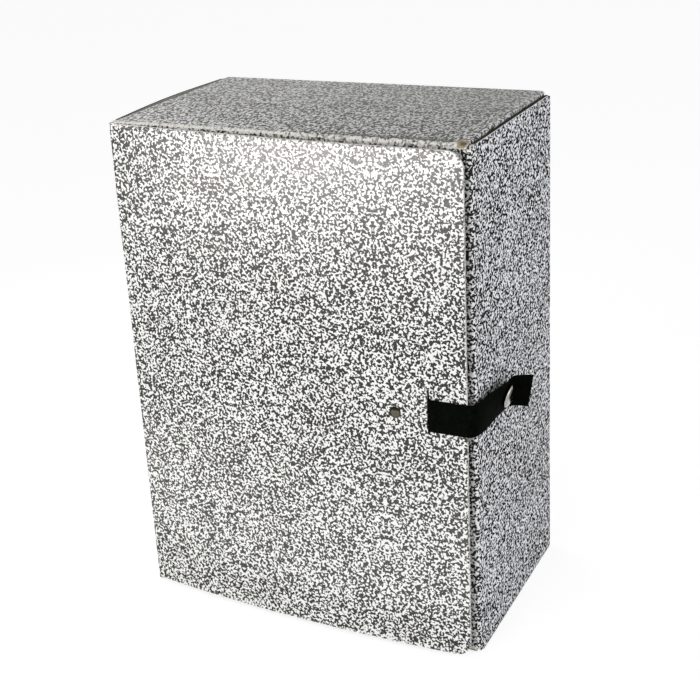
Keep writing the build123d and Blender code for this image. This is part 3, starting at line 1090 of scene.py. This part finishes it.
def spline(points, parts):
    """Points of a smooth line that starts and ends at the first and last of its control points."""
    held = [points[0]] * 2 + list(points) + [points[-1]] * 2
    line = []
    for a, b, c, d in zip(held, held[1:], held[2:], held[3:]):
        for t in (k / parts for k in range(parts)):
            second = b * (3 * t**3 - 6 * t**2 + 4)
            third = c * (1 + 3 * t + 3 * t**2 - 3 * t**3)
            line.append((a * (1 - t) ** 3 + second + third + d * t**3) / 6)
    return line + [points[-1]]


def strap_line():
    """Middle of the strap in plan: inside the cover, out at the slit, round the edge, over the stud, out."""
    off = board / 2 + strap_clear + strap_half_thickness
    slit = -slit_from_edge
    leaning = off * strap_slit_lean
    inside = (-rivet_from_edge - strap_end_margin, *strap_inside_run, slit - strap_slit_far)
    outside = (slit + strap_slit_far, *strap_outside_run)
    run = [(along, off) for along in inside]
    run += [(slit - strap_slit_near, leaning), (slit, 0.0), (slit + strap_slit_near, -leaning)]
    run += [(along, -off) for along in outside]
    points = [on_strap(*pair) for pair in run]
    points += [strap_turn.xy + Vector(pair) for pair in strap_turn_run]
    points += [strap_seat + Vector(pair) for pair in strap_side_run + strap_flare]
    return spline(points, strap_parts)


def strap_section():
    """Outline of the strap cut across, with rounded edges: upward and outward from its middle."""
    section = []
    for k, (side, face) in enumerate(((1, 1), (-1, 1), (-1, -1), (1, -1))):
        for part in range(section_parts + 1):
            angle = pi / 2 * (k + part / section_parts)
            z = side * (strap_half_width - strap_edge_radius) + strap_edge_radius * cos(angle)
            out = face * (strap_half_thickness - strap_edge_radius) + strap_edge_radius * sin(angle)
            section.append((z, out))
    return section


def strap():
    """The whole strap in one piece, which bends round the cover's free edge."""
    line = strap_line()
    lengths = lengths_along(line)
    total = lengths[-1]
    seat = min(zip(line, lengths), key=lambda pair: (pair[0] - strap_seat).length)[1]
    section = strap_section()
    bm = bmesh.new()
    wear = bm.verts.layers.float.new("crease")
    rest = bm.verts.layers.float_vector.new("rest_place")
    rings = []
    for k, (where, length) in enumerate(zip(line, lengths)):
        ahead = (line[min(k + 1, len(line) - 1)] - line[max(k - 1, 0)]).normalized()
        outward = turned_by(ahead, -pi / 2)
        twist = strap_twist * exp(-(((length - seat) / strap_twist_reach) ** 2))
        past_seat = max(0.0, (length - seat) / (total - seat))
        slant = strap_slant * past_seat**2
        droop = strap_droop * min(1.0, max(0.0, 1 + (length - seat) / strap_droop_reach))
        narrow = 1 - strap_waist * exp(-((((length / total) - strap_waist_place) / strap_waist_reach) ** 2))
        narrow += strap_end_spread * past_seat
        end_wear = edge_wear(min(length, total - length) * strap_end_wear)
        ring = []
        for z, out in section:
            side = z / strap_half_width
            crown = strap_crown * (1 - side**2) * (1 if out > 0 else -1)
            plan = where + outward * (out + crown + twist * side) + ahead * slant * side
            vert = bm.verts.new((plan.x, plan.y, strap_middle - droop + z * narrow))
            vert[rest] = (length, z, out)
            side_wear = edge_wear((strap_half_width - abs(z)) * strap_side_wear)
            vert[wear] = max(end_wear, side_wear) * strap_wear_share
            ring.append(vert)
        rings.append(ring)
    skin(bm, rings)
    for ring in (rings[0], rings[-1][::-1]):
        for edge in bm.faces.new(ring).edges:
            edge.smooth = False
    piece = finished("strap_band", None, bm, (leather,), ("strap_anchor", "strap_tail"))
    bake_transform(piece)


# Fasteners


def turned_piece(name, body, origin, axis, profile, material, replaced, patina_and_shading):
    """A turned piece: its profile of radius and height goes round the axis from the middle of its face."""
    axis = axis.normalized()
    side = axis.cross(Vector((0.0, 0.0, 1.0))).normalized()
    up = side.cross(axis)
    bm = bmesh.new()
    wear = bm.verts.layers.float.new("crease")
    rings = []
    for radius, reach in profile:
        count = 1 if radius == 0.0 else turned_parts
        ring = []
        for part in range(count):
            angle = 2 * pi * part / count
            where = origin + axis * reach + (side * cos(angle) + up * sin(angle)) * radius
            vert = bm.verts.new(where)
            # The crease holds patina of the metal and its painted shading
            vert[wear] = patina_and_shading(radius, reach, sin(angle))
            ring.append(vert)
        rings.append(ring)
    skin(bm, rings)
    return finished(name, body, bm, (material,), replaced)


def smooth_profile(points):
    line = spline([Vector(point) for point in points], profile_parts)
    return [(0.0 if abs(p.x) < axis_tolerance else p.x, p.y) for p in line]


def snap_cap():
    """Domed cap with a rolled edge, and its post through the strap."""
    low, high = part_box("snap_cap")
    origin = Vector((high.x - cap_height, (low.y + high.y) / 2, (low.z + high.z) / 2)) + cap_shift
    dome = [(radius * cap_spread, reach) for radius, reach in smooth_profile(cap_profile)]
    post = [(post_radius, 0.0), (post_radius, low.x - origin.x), (0.0, low.x - origin.x)]

    # Tarnish in the middle of the cap, and above it a painted dark reflection
    def tarnish(radius, reach, up):
        inner = max(0.0, 1 - (radius / cap_tarnish_radius) ** 4) if reach > cap_height / 4 else 0.0
        return inner * (cap_tarnish_least + cap_tarnish_upward * max(0.0, up + cap_tarnish_tilt))

    turned_piece(
        "cap_of_press_stud", "strap_tail", origin, Vector((1.0, -cap_turn, -cap_tilt)),
        dome + post, plating, ("snap_cap",), tarnish,
    )


def strap_rivet():
    """Cupped rivet head on the cover, its shank and its peened tail."""
    middle = on_strap(rivet_shift - rivet_from_edge, 0.0)
    origin = Vector((middle.x, middle.y, strap_middle - rivet_drop))
    outward = Vector((-strap_inward.x, -strap_inward.y, 0.0))

    def patina_and_shading(radius, reach, up):
        # Dark patina on the rim, darker toward the top with painted shade
        rim = max(0.0, min(1.0, (radius - rivet_rim_from) / rivet_rim_reach))
        # Painted shadow of the upper rim across the top of the cup
        arc = max(0.0, up * radius / rivet_arc_radius - rivet_arc_from)
        return min(1.0, rim * (rivet_rim_dirt + rivet_rim_upward_shade * up) + arc * rivet_arc_shadow)

    turned_piece(
        "rivet_of_strap", "cover", origin, outward,
        smooth_profile(rivet_cup) + rivet_shank, bronze, ("strap_rivet",), patina_and_shading,
    )


def plated_solids():
    """Small fasteners whose solids already have their shape."""
    metals = {"snap_socket": plating, "snap_stud": plating, "snap_post": plating, "rivet_washer": bronze}
    for node, material in metals.items():
        piece = frame["nodes"][node]
        piece.data.materials.clear()
        piece.data.materials.append(material)


# Stage


def seen_directly(tree):
    """One for rays from the camera, also by way of a mirror or through glass."""
    light_path = place(tree, "LightPath").outputs
    seen = math_of(tree, "MAXIMUM", light_path["Is Camera Ray"], light_path["Is Glossy Ray"])
    return math_of(tree, "MAXIMUM", seen, light_path["Is Transmission Ray"])


def floor():
    """White floor that keeps a light shadow."""
    bm = bmesh.new()
    signs = ((-1, -1), (1, -1), (1, 1), (-1, 1))
    bm.faces.new([bm.verts.new((x * floor_half, y * floor_half, floor_level)) for x, y in signs])
    made = bpy.data.materials.new("floor_white")
    made.use_nodes = True
    tree = made.node_tree
    tree.nodes.remove(tree.nodes["Principled BSDF"])
    plain = place(tree, "BsdfDiffuse", {"Color": floor_grey}).outputs[0]
    faint = place(tree, "BsdfDiffuse", {"Color": floor_seen_grey}).outputs[0]
    glow = place(tree, "Emission", {"Color": white, "Strength": floor_glow}).outputs[0]
    shown = place(tree, "AddShader", {0: faint, 1: glow}).outputs[0]
    mix = place(tree, "MixShader", {0: seen_directly(tree), 1: plain, 2: shown}).outputs[0]
    feed(tree, tree.nodes["Material Output"].inputs["Surface"], mix)
    piece = meshed("floor", bm, (made,))


def world_light():
    """Even light from all round, seen as white."""
    world = bpy.data.worlds.new("studio")
    bpy.context.scene.world = world
    world.use_nodes = True
    tree = world.node_tree
    background = tree.nodes["Background"]
    feed(tree, background.inputs["Color"], mixed(tree, seen_directly(tree), ambient_colour, white))
    background.inputs["Strength"].default_value = 1.0


def aimed(name, data, place_at, aim, roll=0.0):
    """Adds a lamp or a camera, which looks from its place at its aim."""
    piece = added(name, data)
    piece.location = place_at
    piece.rotation_mode = "QUATERNION"
    straight = (Vector(aim) - Vector(place_at)).to_track_quat("-Z", "Y")
    piece.rotation_quaternion = straight @ Quaternion((0.0, 0.0, 1.0), roll)
    return piece


def lamp(name, place_at, aim, size, power, colour, glossy_only=False):
    light = bpy.data.lights.new(name, "AREA")
    light.shape = "RECTANGLE"
    light.size, light.size_y = size
    light.energy = power
    light.color = colour
    piece = aimed(name, light, place_at, aim)
    if glossy_only:
        piece.visible_camera = piece.visible_diffuse = piece.visible_transmission = False


def lamps():
    lamp(
        "key_lamp", place_at=(-0.43, -1.65, 0.46), aim=(0.0, front, height / 2), size=(1.2, 0.7),
        power=15.3, colour=(1.0, 0.996, 0.978),
    )
    lamp(
        "low_strip_lamp", place_at=(-0.39, -0.92, 0.13), aim=(0.0, front, 0.25), size=(0.56, 0.045),
        power=6.9, colour=(1.0, 0.95, 0.915), glossy_only=True,
    )
    lamp(
        "floor_sheen_lamp", place_at=(-0.06, -0.18, 0.008), aim=(-0.06, -0.1, 0.5), size=(0.5, 0.18),
        power=0.46, colour=(1.0, 0.99, 0.96), glossy_only=True,
    )
    lamp(
        "side_lamp", place_at=(1.5, -0.1, 0.3), aim=(right, 0.0, height / 2), size=(1.0, 1.0), power=9.8,
        colour=(0.835, 0.865, 1.0),
    )
    lamp(
        "back_left_lamp", place_at=(-0.5, 0.2, 0.6), aim=(-0.1, 0.0, height), size=(0.4, 0.4), power=1.0,
        colour=(1.0, 0.99, 0.97),
    )


def photo_camera():
    lens = bpy.data.cameras.new("camera")
    lens.sensor_width = 36.0
    lens.lens = 68.74
    lens.shift_x, lens.shift_y = 0.0284, -0.0973
    bpy.context.scene.camera = aimed("camera", lens, camera_place, camera_aim, camera_roll)


case_walls()
end_panel("top_board", "top_panel", True)
end_panel("bottom_board", "bottom_panel", False)
end_flaps()
front_cover()
hinge_fold()
hinge_tape()
strap()
snap_cap()
strap_rivet()
plated_solids()

floor()
world_light()
lamps()
photo_camera()
bpy.context.scene.view_settings.view_transform = "Standard"
